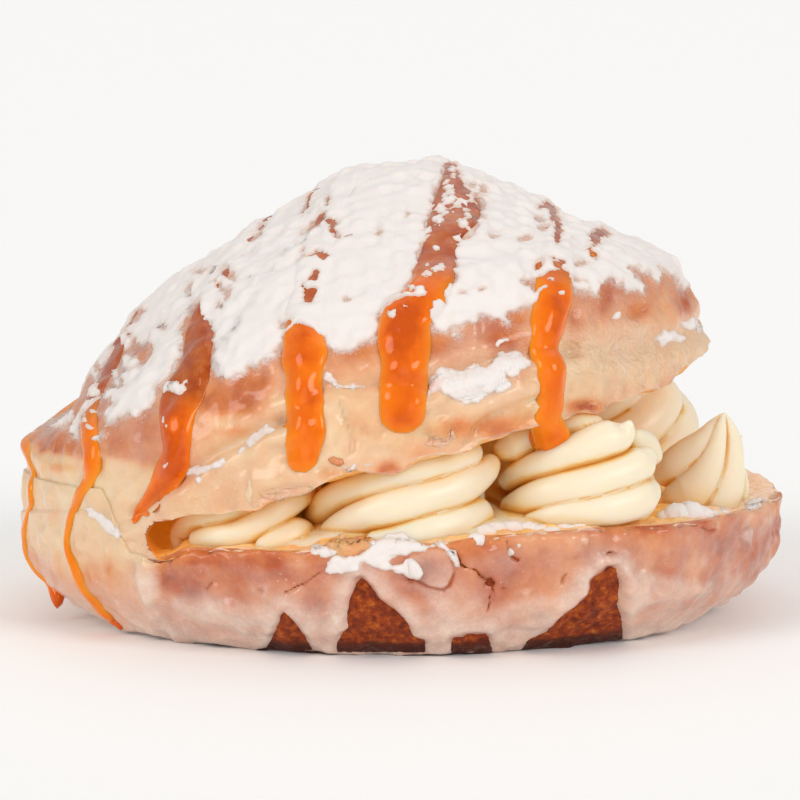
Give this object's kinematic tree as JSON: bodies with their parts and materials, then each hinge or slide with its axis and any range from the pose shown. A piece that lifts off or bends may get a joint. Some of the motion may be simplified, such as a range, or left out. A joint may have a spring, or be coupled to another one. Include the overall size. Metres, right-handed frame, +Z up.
{
  "type": "cinnamon roll",
  "caption": "Cream-filled cinnamon roll: glazed dough split like a clam shell and hinged at one end, with caramel lines over a domed lid and piped cream swirls inside.",
  "frame": {"origin": "on the table, under the middle of the roll", "axes": "+X from the uncut end towards the open end, +Z up, -Y towards the side shown in the picture"},
  "size_m": [0.1299, 0.1244, 0.0773],
  "materials": {
    "crust": "baked crust under glaze, satin",
    "cream": "piped cream, soft satin"
  },
  "bodies": {
    "root": {"bun": "crust", "cream": "cream"}
  },
  "joints": []
}
